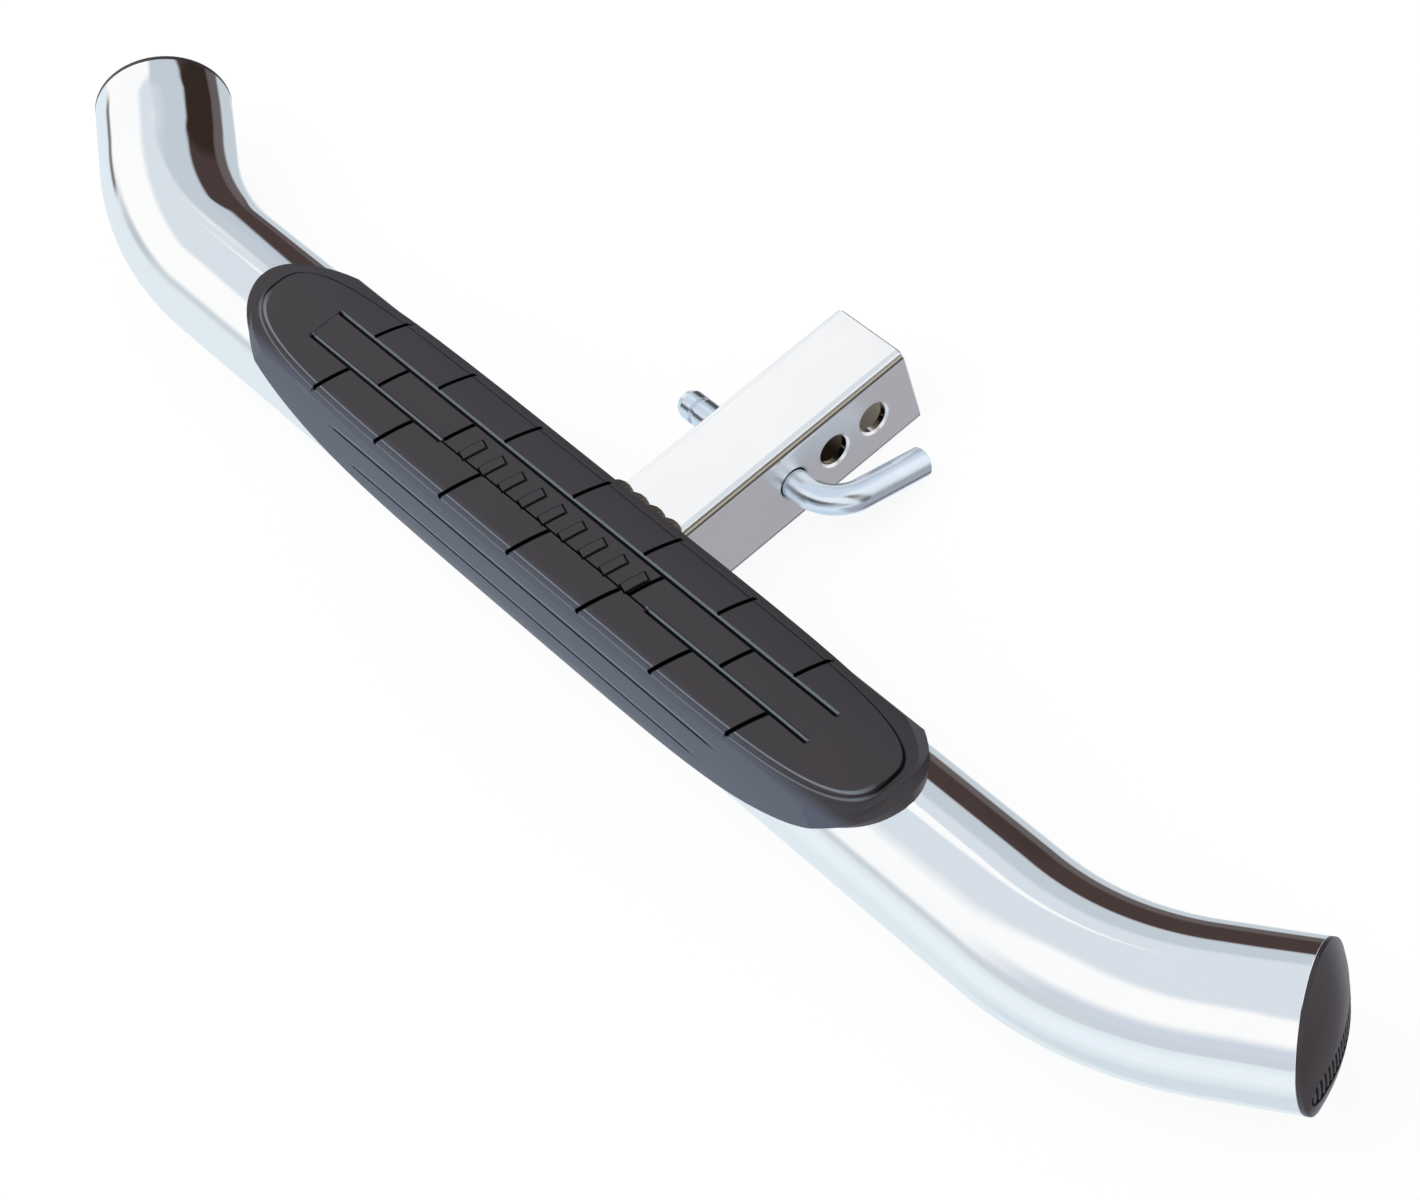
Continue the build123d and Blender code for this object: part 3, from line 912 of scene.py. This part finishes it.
@dataclass
class Dressing:
    """Puts each finish on the pieces that the record gives its slot.

    Attributes:
        effects: The shared node groups.
        finishes: The finishes to make.
        made: The finished material of each slot.
    """

    effects: Effects = field(default_factory=Effects)
    finishes: tuple[Finish, ...] = FINISHES
    made: dict[Slot, bpy.types.Material] = field(default_factory=dict)

    def dress(self) -> None:
        """Makes every material and sets it on its nodes."""
        for finish in self.finishes:
            self.made[finish.slot] = finish.material(self.effects)
        for item in frame["record"]["subparts"]:
            mesh = frame["nodes"][item["node"]].data
            mesh.materials.clear()
            mesh.materials.append(self.made[Slot(item["material_slot"])])
            log.info("dressed %s in %s", item["node"], item["material_slot"])


# Pieces that stand for CAD nodes


def grid_faces(rows: int, columns: int, first: int = 0) -> list[Face]:
    """Faces of a closed turned surface: a pole, rings of points, and a second pole.

    Points are numbered from the first pole, ring by ring, to the second pole.

    Args:
        rows: Number of rings.
        columns: Points in each ring.
        first: Number of the first pole's point.

    Returns:
        The faces as tuples of point numbers.
    """
    ring = np.arange(columns)
    after = np.roll(ring, -1)
    start = first + 1 + np.arange(rows - 1)[:, None] * columns
    quads = np.stack(
        (start + ring, start + after, start + columns + after, start + columns + ring), axis=-1
    ).reshape(-1, 4)
    last = first + 1 + (rows - 1) * columns
    pairs = list(zip(ring.tolist(), after.tolist()))
    fans = [(first, first + 1 + b, first + 1 + a) for a, b in pairs]
    fans += [(last + columns, last + a, last + b) for a, b in pairs]
    return [tuple(quad) for quad in quads.tolist()] + fans


def new_piece(
    name: str, points: np.ndarray, faces: list[Face], slot: Slot, dressing: Dressing, *nodes: str
) -> None:
    """Makes a piece that stands for CAD nodes of the step.

    Args:
        name: The piece's name.
        points: Its points, one row each, in metres.
        faces: Its faces as tuples of point numbers.
        slot: The material slot that it takes its finish from.
        dressing: The finished materials.
        nodes: The CAD nodes that it replaces.
    """
    mesh = bpy.data.meshes.new(name)
    mesh.from_pydata(points.tolist(), [], faces)
    work = bmesh.new()
    work.from_mesh(mesh)
    bmesh.ops.recalc_face_normals(work, faces=work.faces)
    work.to_mesh(mesh)
    work.free()
    mesh.polygons.foreach_set("use_smooth", np.ones(len(mesh.polygons), dtype=bool))
    mesh.set_sharp_from_angle(angle=math.radians(SHARP_DEGREES))
    mesh.materials.append(dressing.made[slot])
    piece = bpy.data.objects.new(name, mesh)
    bpy.context.collection.objects.link(piece)
    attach(piece, "step")
    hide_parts(*nodes)
    log.info("built %s with %d faces", name, len(faces))


@dataclass
class BentTube:
    """The bent tube as one fine closed surface, so that its reflections run smoothly.

    Attributes:
        bar: The bar's shape.
        inner_r: Inner radius.
        edge: Radius of the rounded outer edge.
        edge_steps: Rings on each rounded edge.
        bend_steps: Rings in each bend.
        columns: Points round the tube.
    """

    bar: BarShape = BAR
    inner_r: float = 0.036
    edge: float = 0.0008
    edge_steps: int = 6
    bend_steps: int = 48
    columns: int = 256

    def rings(self) -> tuple[np.ndarray, np.ndarray]:
        """Places along the axis and radii of the rings: outside, round an end, and back inside.

        Returns:
            The places and the radii.
        """
        bar = self.bar
        end = bar.half_length()
        steps = np.arange(1, self.bend_steps + 1) / self.bend_steps
        bends = bar.straight_half + bar.bend_r * math.radians(bar.bend_angle) * steps
        middle = [bar.straight_half / 2, bar.straight_half]
        half = np.concatenate((middle, bends, [end - bar.leg / 2]))
        body = np.concatenate((-half[::-1], [0.0], half))
        quarter = np.linspace(0, np.pi / 2, self.edge_steps)
        rim = end - self.edge + self.edge * np.sin(quarter)
        rim_r = bar.radius - self.edge + self.edge * np.cos(quarter)
        along = np.concatenate((-rim[::-1], body, rim, [end], body[::-1], [-end]))
        inside = np.full(len(body) + 2, self.inner_r)
        radius = np.concatenate((rim_r[::-1], np.full(len(body), bar.radius), rim_r, inside))
        return along, radius

    def build(self, dressing: Dressing) -> None:
        """Builds the tube: circles round the axis, level and upright, joined end to end.

        Args:
            dressing: The finished materials.
        """
        along, radius = self.rings()
        centre, turn = self.bar.centre_line(along)
        angle = np.linspace(0, 2 * np.pi, self.columns, endpoint=False)
        aside = np.stack((-np.sin(turn), np.cos(turn), np.zeros_like(turn)), axis=-1)
        out = np.cos(angle)[None, :, None] * aside[:, None, :]
        out = out + np.sin(angle)[None, :, None] * np.array([0.0, 0.0, 1.0])
        points = (centre[:, None, :] + radius[:, None, None] * out).reshape(-1, 3)
        number = np.arange(len(along) * self.columns).reshape(len(along), self.columns)
        below = np.roll(number, -1, axis=0)
        quads = np.stack(
            (number, np.roll(number, -1, axis=1), np.roll(below, -1, axis=1), below), axis=-1
        )
        faces = [tuple(quad) for quad in quads.reshape(-1, 4).tolist()]
        new_piece("bent_tube", points, faces, Slot.BAR, dressing, "step_tube")


@dataclass
class EndCaps:
    """The two domed caps, each with a ribbed band sunk into the lower half of its face.

    Attributes:
        face: Where the caps sit, and their sunk band.
        rim_r: Radius of the cap.
        flange: Height of the straight rim.
        dome: Height of the dome above the rim.
        edge: Radius of the rounded edge between them.
        plug_r: Radius of the plug.
        plug_length: Length of the plug.
        hollow_r: Radius of the plug's hollow.
        hollow_floor: Place of the hollow's floor along the axis.
        wall: Width of the band's sloping wall, and of a rib's end.
        floor_start: How far inside the band's edge the ribs begin.
        rib_share: Height of the ribs as a share of the band's depth.
        rings: Rings of points on the dome.
        columns: Points round the cap.
    """

    face: CapFace = CAP_FACE
    rim_r: float = BAR.radius
    flange: float = 0.002
    dome: float = 0.009
    edge: float = 0.0004
    plug_r: float = 0.03595
    plug_length: float = 0.018
    hollow_r: float = 0.03295
    hollow_floor: float = -0.001
    wall: float = 0.0005
    floor_start: float = 0.0009
    rib_share: float = 0.75
    rings: int = 110
    columns: int = 300

    def sunk(self, across: np.ndarray, up: np.ndarray) -> np.ndarray:
        """Depth of the band below the dome.

        The band is a rounded slot: its distance is that from a level line, less its half
        height. Its floor carries ribs, a raised cosine of the place along it.

        Args:
            across: Place along the band.
            up: Place above the cap's centre.

        Returns:
            The depth at each point.
        """
        face = self.face
        over = np.maximum(np.abs(across) - (face.half_length - face.half_height), 0.0)
        inwards = face.half_height - np.hypot(over, up + face.drop)
        wall = np.clip(inwards / self.wall, 0.0, 1.0)
        floor = np.clip((inwards - self.floor_start) / self.wall, 0.0, 1.0)
        ribs = 0.5 + 0.5 * np.cos(2 * np.pi * across / face.rib_pitch)
        return face.depth * wall * (1 - self.rib_share * floor * ribs)

    def surface(self) -> np.ndarray:
        """Points of one cap about its own axis: along the axis, across, and up.

        The dome is a part of a ball; rim and plug are a profile turned about the axis.

        Returns:
            The points, with a pole at each end.
        """
        ball = (self.rim_r**2 + self.dome**2) / (2 * self.dome)
        radius = np.linspace(0, self.rim_r - self.edge, self.rings + 1)[1:]
        lift = self.flange + self.dome - ball + np.sqrt(ball**2 - radius**2)
        round_off = np.array([0.3, 0.7, 1.0]) * np.pi / 2
        rim_r = self.rim_r - self.edge * (1 - np.sin(round_off))
        rim_a = lift[-1] - self.edge * (1 - np.cos(round_off))
        plug_r = [self.rim_r, self.plug_r, self.plug_r, self.hollow_r, self.hollow_r]
        plug_a = [0.0, 0.0, -self.plug_length, -self.plug_length, self.hollow_floor]
        profile_r = np.concatenate((radius, rim_r, plug_r))
        profile_a = np.concatenate((lift, rim_a, plug_a))
        angle = np.linspace(0, 2 * np.pi, self.columns, endpoint=False)
        across = profile_r[:, None] * np.sin(angle)
        up = profile_r[:, None] * np.cos(angle)
        along = np.repeat(profile_a[:, None], self.columns, axis=1)
        face = slice(0, self.rings)
        along[face] -= self.sunk(across[face], up[face])
        rings = np.stack((along, across, up), axis=-1).reshape(-1, 3)
        tip = [[self.flange + self.dome, 0.0, 0.0]]
        return np.concatenate((tip, rings, [[self.hollow_floor, 0.0, 0.0]]))

    def build(self, dressing: Dressing) -> None:
        """Places the two caps on the tube's ends, the left one as a mirror image.

        Args:
            dressing: The finished materials.
        """
        local = self.surface()
        turn = math.radians(BAR.bend_angle)
        c, s = math.cos(turn), math.sin(turn)
        axes = np.array([[c, s, 0.0], [-s, c, 0.0], [0.0, 0.0, 1.0]])
        right = local @ axes + np.array(self.face.seat)
        faces = grid_faces((len(local) - 2) // self.columns, self.columns)
        new_piece("domed_cap_right", right, faces, Slot.CAP, dressing, "end_cap_right")
        new_piece("domed_cap_left", right * [-1, 1, 1], faces, Slot.CAP, dressing, "end_cap_left")


@dataclass
class RootWeld:
    """The weld at the shank's root: a lobed bead on top and a rippled bead down each side.

    Attributes:
        bar: The bar's shape.
        half_side: Half of the shank's side.
        side_r: Radius of the side beads.
        side_turn: Degrees round the bar that the side beads run, from level downwards.
        top_r: Lowest and highest radius of the top bead.
        lobes: Number of lobes on the top bead.
        ripple_pitch: Distance between ripples.
        ripple: Height of the ripples as a share of the radius.
        end_reach: Length over which a bead's end closes.
        blunt: Share of that length at which it starts, so that its end isn't a point.
        top_steps: Points along the top bead.
        side_steps: Points along a side bead.
        columns: Points round a bead.
    """

    bar: BarShape = BAR
    half_side: float = 0.0254
    side_r: float = 0.0045
    side_turn: float = 88.0
    top_r: tuple[float, float] = (0.0076, 0.0098)
    lobes: int = 4
    ripple_pitch: float = 0.0021
    ripple: float = 0.05
    end_reach: float = 0.003
    blunt: float = 0.03
    top_steps: int = 190
    side_steps: int = 200
    columns: int = 30

    def bead(
        self, path: np.ndarray, square: list[float], radius: np.ndarray, first: int
    ) -> tuple[np.ndarray, list[Face]]:
        """A closed bead: a rippled circle carried along a path in a plane.

        Args:
            path: Points of the path.
            square: Direction square to the path all along.
            radius: Radius at each point; the two ends close like a ball.
            first: Number of the bead's first point.

        Returns:
            The bead's points and faces.
        """
        way = np.gradient(path, axis=0)
        way /= np.linalg.norm(way, axis=1, keepdims=True)
        length = np.concatenate(([0.0], np.cumsum(np.linalg.norm(np.diff(path, axis=0), axis=1))))
        from_end = np.minimum(length, length[-1] - length)
        closing = 1 - (1 - np.clip(from_end / self.end_reach, self.blunt, 1)) ** 2
        ripples = 1 + self.ripple * np.abs(np.sin(np.pi * length / self.ripple_pitch))
        side = np.array(square)
        other = np.cross(way, side)
        angle = np.linspace(0, 2 * np.pi, self.columns, endpoint=False)
        size = (radius * ripples * np.sqrt(closing))[:, None, None]
        rings = path[:, None, :] + size * (
            np.cos(angle)[None, :, None] * side + np.sin(angle)[None, :, None] * other[:, None, :]
        )
        points = np.concatenate((path[:1], rings.reshape(-1, 3), path[-1:]))
        return points, grid_faces(len(path), self.columns, first)

    def top_bead(self) -> tuple[np.ndarray, list[float], np.ndarray]:
        """The top bead: a level line along the shank's edge, its radius a row of sine lobes.

        Returns:
            Its path, the direction square to it, and its radius at each point.
        """
        bar = self.bar
        x = np.linspace(-self.half_side, self.half_side, self.top_steps)
        path = np.stack((x, np.full_like(x, bar.y + bar.radius), np.full_like(x, bar.z)), axis=-1)
        low, high = self.top_r
        wave = np.abs(np.sin(np.pi * self.lobes * (x / (2 * self.half_side) + 0.5)))
        return path, [0.0, 1.0, 0.0], (low + (high - low) * wave) / (1 + self.ripple)

    def side_bead(self, sign: int) -> tuple[np.ndarray, list[float], np.ndarray]:
        """A side bead: an arc round the bar, down the corner of the shank.

        Args:
            sign: Which side of the shank, 1 or -1.

        Returns:
            Its path, the direction square to it, and its radius at each point.
        """
        bar = self.bar
        turn = np.radians(np.linspace(0, -self.side_turn, self.side_steps))
        x = np.full_like(turn, sign * self.half_side)
        y = bar.y + bar.radius * np.cos(turn)
        z = bar.z + bar.radius * np.sin(turn)
        return np.stack((x, y, z), axis=-1), [1.0, 0.0, 0.0], np.full_like(turn, self.side_r)

    def build(self, dressing: Dressing) -> None:
        """Builds the three beads as one piece.

        Args:
            dressing: The finished materials.
        """
        points: list[np.ndarray] = []
        faces: list[Face] = []
        for bead in (self.top_bead(), self.side_bead(-1), self.side_bead(1)):
            more_points, more_faces = self.bead(*bead, first=sum(len(part) for part in points))
            points.append(more_points)
            faces += more_faces
        new_piece("rippled_weld", np.concatenate(points), faces, Slot.WELD, dressing, "root_weld")


# Studio


@dataclass(frozen=True)
class Board:
    """A board, cloth or soft shade that stands round the object and shows in its metal.

    Attributes:
        azimuth: Direction of its middle, degrees from +X towards +Y.
        half_width: Half of its width in degrees.
        low: Elevation of its lower edge in degrees.
        high: Elevation of its upper edge in degrees.
        colour: Its colour.
        side_soft: Degrees over which its sides fade.
        end_soft: Degrees over which its lower and upper edges fade.
    """

    azimuth: float
    half_width: float
    low: float
    high: float
    colour: Colour
    side_soft: float
    end_soft: float

    def mask(self, pen: NodePen, east: Socket, north: Socket, height: Socket) -> Socket:
        """Mask of the board: 1 between its sides and between its lower and upper edges.

        Args:
            pen: Pen of the world's nodes.
            east: The direction's X.
            north: The direction's Y.
            height: The direction's elevation in degrees.

        Returns:
            The mask's socket.
        """
        ahead, aside = pen.turned(east, north, self.azimuth)
        turn = pen.degrees(pen.math("ARCTAN2", aside, ahead))
        across = pen.fall(pen.size(turn), self.half_width, self.side_soft)
        return pen.times(across, pen.band(height, self.low, self.high, self.end_soft))


# From the back to the front: a later board covers the earlier ones.
BOARDS: tuple[Board, ...] = (
    # The pale ground, and its shades on the user's side
    Board(0.0, 181.0, -91.0, -4.0, (0.77, 0.85, 0.9), side_soft=0.5, end_soft=5.0),
    Board(-90.0, 45.0, -91.0, -46.0, (0.66, 0.74, 0.8), side_soft=25.0, end_soft=18.0),
    Board(-85.0, 45.0, -33.0, -12.0, (0.84, 0.91, 0.97), side_soft=20.0, end_soft=10.0),
    # Grey shades along the horizon behind the user
    Board(-70.0, 42.0, 2.0, 26.0, (0.62, 0.68, 0.76), side_soft=28.0, end_soft=15.0),
    Board(-70.0, 42.0, -4.0, 9.0, (0.6, 0.66, 0.74), side_soft=28.0, end_soft=5.0),
    Board(-125.0, 36.0, -4.0, 6.0, (0.62, 0.68, 0.72), side_soft=12.0, end_soft=8.0),
    Board(-148.0, 6.0, -3.0, 5.0, (0.54, 0.58, 0.61), side_soft=8.0, end_soft=7.0),
    Board(-166.0, 6.0, -5.0, 1.0, (0.19, 0.18, 0.18), side_soft=4.0, end_soft=5.0),
    # Cloth overhead and on the far left, with a white window in it
    Board(0.0, 181.0, 62.0, 91.0, (0.7, 0.76, 0.82), side_soft=0.5, end_soft=9.0),
    Board(150.0, 75.0, 37.0, 91.0, (0.7, 0.76, 0.82), side_soft=20.0, end_soft=4.0),
    Board(130.0, 22.0, 21.0, 41.0, (0.55, 0.61, 0.67), side_soft=6.0, end_soft=6.0),
    Board(156.3, 8.0, 42.0, 57.0, (1.0, 1.0, 1.0), side_soft=2.0, end_soft=2.0),
    # Dark corner beyond the right leg, and the tan board in it
    Board(26.0, 62.0, -91.0, -20.0, (0.43, 0.42, 0.46), side_soft=12.0, end_soft=4.0),
    Board(40.0, 30.0, -74.0, -60.0, (0.1, 0.1, 0.1), side_soft=12.0, end_soft=4.0),
    Board(17.0, 11.0, -20.0, 57.0, (0.05, 0.045, 0.03), side_soft=5.0, end_soft=3.0),
    Board(17.0, 11.0, 5.0, 31.0, (0.42, 0.38, 0.32), side_soft=5.0, end_soft=3.0),
    # Grey shades and dark boards beyond the left leg
    Board(125.0, 22.0, -44.0, -20.0, (0.56, 0.62, 0.67), side_soft=10.0, end_soft=7.0),
    Board(148.0, 12.0, -12.0, 24.0, (0.52, 0.58, 0.66), side_soft=4.0, end_soft=6.0),
    Board(121.0, 16.5, -23.0, -7.0, (0.13, 0.11, 0.11), side_soft=1.5, end_soft=5.0),
    Board(119.0, 18.0, -9.0, 22.0, (0.066, 0.045, 0.042), side_soft=1.5, end_soft=4.0),
    Board(109.5, 10.0, -8.0, 24.0, (0.034, 0.022, 0.018), side_soft=6.0, end_soft=4.0),
    Board(137.4, 1.4, -19.0, -6.0, (0.1, 0.08, 0.09), side_soft=1.5, end_soft=5.0),
)


@dataclass
class Studio:
    """Floor, surroundings and lamp.

    Attributes:
        floor_size: Side of the floor in metres.
        floor_z: Height of the surface that the shank lies on, a hair below it.
        floor_colour: Colour of the floor.
        floor_roughness: Roughness of the floor.
        floor_glow: Share of plain white that the floor shows to the camera.
        white: Level of the surroundings.
        lamp_power: Power of the lamp in watts.
        lamp_size: Side of the lamp in metres.
        lamp_place: Place of the lamp.
        lamp_aim: The point that the lamp faces.
    """

    floor_size: float = 14.0
    floor_z: float = -0.0257
    floor_colour: Colour = (0.96, 0.96, 0.96)
    floor_roughness: float = 0.9
    floor_glow: float = 0.88
    white: float = 1.0
    lamp_power: float = 12.0
    lamp_size: float = 1.6
    lamp_place: tuple[float, float, float] = (-0.5, -1.0, 2.0)
    lamp_aim: tuple[float, float, float] = (0.0, -0.17, 0.02)

    def build_floor(self) -> None:
        """Lays a plain white floor that keeps the object's shadow."""
        half = self.floor_size / 2
        mesh = bpy.data.meshes.new("floor")
        corners = [(-half, -half), (half, -half), (half, half), (-half, half)]
        mesh.from_pydata([(x, y, self.floor_z) for x, y in corners], [], [(0, 1, 2, 3)])
        floor = bpy.data.objects.new("floor", mesh)
        bpy.context.collection.objects.link(floor)
        floor.visible_glossy = False
        material = bpy.data.materials.new("floor")
        material.use_nodes = True
        pen = NodePen(material.node_tree)
        shader = material.node_tree.nodes["Principled BSDF"]
        shader.inputs["Base Color"].default_value = rgba(self.floor_colour)
        shader.inputs["Roughness"].default_value = self.floor_roughness
        glow = pen.add("ShaderNodeEmission", Strength=1.0)
        glow.inputs["Color"].default_value = rgba(WHITE)
        path = pen.add("ShaderNodeLightPath")
        seen = pen.most(path.outputs["Is Camera Ray"], path.outputs["Is Glossy Ray"])
        blend = pen.add("ShaderNodeMixShader")
        pen.join(pen.times(seen, self.floor_glow), blend.inputs[0])
        pen.join(shader.outputs[0], blend.inputs[1])
        pen.join(glow.outputs[0], blend.inputs[2])
        pen.join(blend.outputs[0], material.node_tree.nodes["Material Output"].inputs[0])
        mesh.materials.append(material)

    def build_world(self) -> None:
        """Wraps the object in a pale studio with dark boards beside it.

        Mirror-bright metal sees the boards, as it does in a photographer's tent; every other
        surface is lit by plain white.
        """
        world = bpy.data.worlds.new("studio")
        bpy.context.scene.world = world
        world.use_nodes = True
        pen = NodePen(world.node_tree)
        east, north, up = pen.split(pen.add("ShaderNodeTexCoord").outputs["Generated"])
        height = pen.degrees(pen.math("ARCSINE", up))
        seen: Socket | Colour = WHITE
        for board in BOARDS:
            seen = pen.mix(board.mask(pen, east, north, height), seen, board.colour)
        path = pen.add("ShaderNodeLightPath")
        shader = world.node_tree.nodes["Background"]
        pen.join(pen.mix(path.outputs["Is Glossy Ray"], WHITE, seen), shader.inputs["Color"])
        shader.inputs["Strength"].default_value = self.white

    def build_lamp(self) -> None:
        """Hangs one broad soft lamp above."""
        lamp = bpy.data.lights.new("soft lamp", "AREA")
        lamp.energy = self.lamp_power
        lamp.size = self.lamp_size
        holder = bpy.data.objects.new("soft lamp", lamp)
        bpy.context.collection.objects.link(holder)
        holder.location = self.lamp_place
        aim = Vector(self.lamp_aim) - holder.location
        holder.rotation_euler = aim.to_track_quat("-Z", "Y").to_euler()
        holder.visible_glossy = False

    def build(self) -> None:
        """Builds the floor, the surroundings and the lamp."""
        self.build_floor()
        self.build_world()
        self.build_lamp()


@dataclass
class View:
    """The photograph's camera.

    Attributes:
        azimuth: Degrees round the object, 0 looking along +Y.
        elevation: Degrees above the horizon.
        roll: Degrees turned about the line of sight.
        distance: Metres from the aim point.
        aim: The point that the camera looks at.
        focal_px: Focal length in photograph pixels.
        far: Metres to the farthest thing that it shows.
    """

    azimuth: float = 66.32
    elevation: float = 49.73
    roll: float = -21.21
    distance: float = 1.788
    aim: tuple[float, float, float] = (0.067, -0.1641, 0.0254)
    focal_px: float = 3747.2
    far: float = 50.0

    def build(self) -> None:
        """Makes the camera and gives it to the scene."""
        data = bpy.data.cameras.new("camera")
        data.sensor_width = SENSOR_MM
        data.lens = self.focal_px / IMAGE_WIDTH * SENSOR_MM
        data.clip_end = self.far
        camera = bpy.data.objects.new("camera", data)
        bpy.context.collection.objects.link(camera)
        az, el, roll = (math.radians(v) for v in (self.azimuth, self.elevation, self.roll))
        back = Vector((math.sin(az) * math.cos(el), -math.cos(az) * math.cos(el), math.sin(el)))
        right = (-back).cross(Vector((0.0, 0.0, 1.0))).normalized()
        up = right.cross(-back)
        side = math.cos(roll) * right + math.sin(roll) * up
        top = -math.sin(roll) * right + math.cos(roll) * up
        turn = Matrix((side, top, back)).transposed().to_4x4()
        camera.matrix_world = Matrix.Translation(Vector(self.aim) + self.distance * back) @ turn
        bpy.context.scene.camera = camera


def main() -> None:
    """Builds the looks in order and reports each piece."""
    logging.basicConfig(level=logging.INFO, format="%(message)s")
    dressing = Dressing()
    dressing.dress()
    BentTube().build(dressing)
    EndCaps().build(dressing)
    RootWeld().build(dressing)
    Studio().build()
    log.info("studio ready")
    View().build()
    log.info("camera ready")
    bpy.context.scene.view_settings.view_transform = "Standard"


if __name__ == "__main__":
    main()
